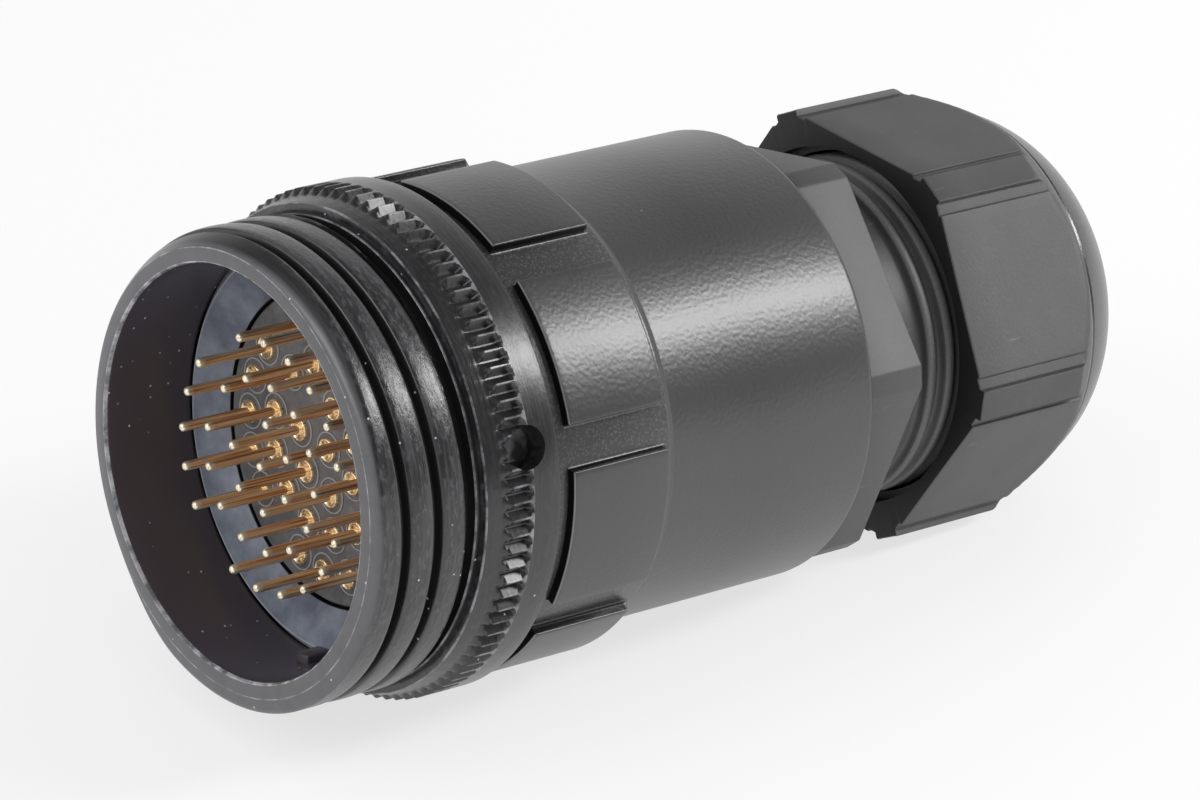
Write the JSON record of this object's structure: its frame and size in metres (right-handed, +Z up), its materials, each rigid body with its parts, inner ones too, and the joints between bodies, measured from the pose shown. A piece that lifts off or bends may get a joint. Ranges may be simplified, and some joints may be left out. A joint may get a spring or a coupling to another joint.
{
  "type": "round multi-contact cable connector with cable gland",
  "caption": "Black round cable connector with a threaded nose full of gold pins, a knurled ring, a sleeve with grip pads and a screwed cable gland.",
  "frame": {"origin": "on the connector's axis in the plane of the nose rim", "axes": "+X along the axis from the nose rim to the cable gland, +Z up with a flat of the gland nut at the bottom, +Y to the far side"},
  "size_m": [0.108, 0.0532, 0.0532],
  "materials": {
    "anodised_shell": "black anodised, satin",
    "coated_sleeve": "black powder coat with fine orange peel",
    "seal_rubber": "matte",
    "insulator_plastic": "matte",
    "gold_contacts": "gold plated",
    "plain_metal": "satin",
    "black_rubber": "matte",
    "gland_nylon": "moulded, satin",
    "cage_nylon": "moulded, satin"
  },
  "bodies": {
    "connector": {"front_shell": "anodised_shell", "face_seal": "seal_rubber", "front_insulator": "insulator_plastic", "rear_insulator": "insulator_plastic", "contact_pins": "gold_contacts", "retaining_nut": "plain_metal", "shell_oring": "black_rubber", "sleeve": "coated_sleeve", "gland_body": "gland_nylon", "gland_oring": "black_rubber"},
    "clamp": {"clamp_cage": "cage_nylon", "cable_seal": "black_rubber"},
    "nut": {"gland_nut": "gland_nylon"}
  },
  "joints": [
    {"name": "clamp_push", "type": "slide", "parent": "connector", "child": "clamp", "axis": [1, 0, 0], "range_m": [-0.00585, 0.0039]},
    {"name": "nut_turn", "type": "hinge", "parent": "clamp", "child": "nut", "pos_m": [0.095, 0, 0], "axis": [1, 0, 0], "range_deg": [-811, 541]}
  ],
  "couplings": [
    {"joint": "nut_turn", "follows": "clamp_push", "rad_per_m": 2416.6}
  ]
}
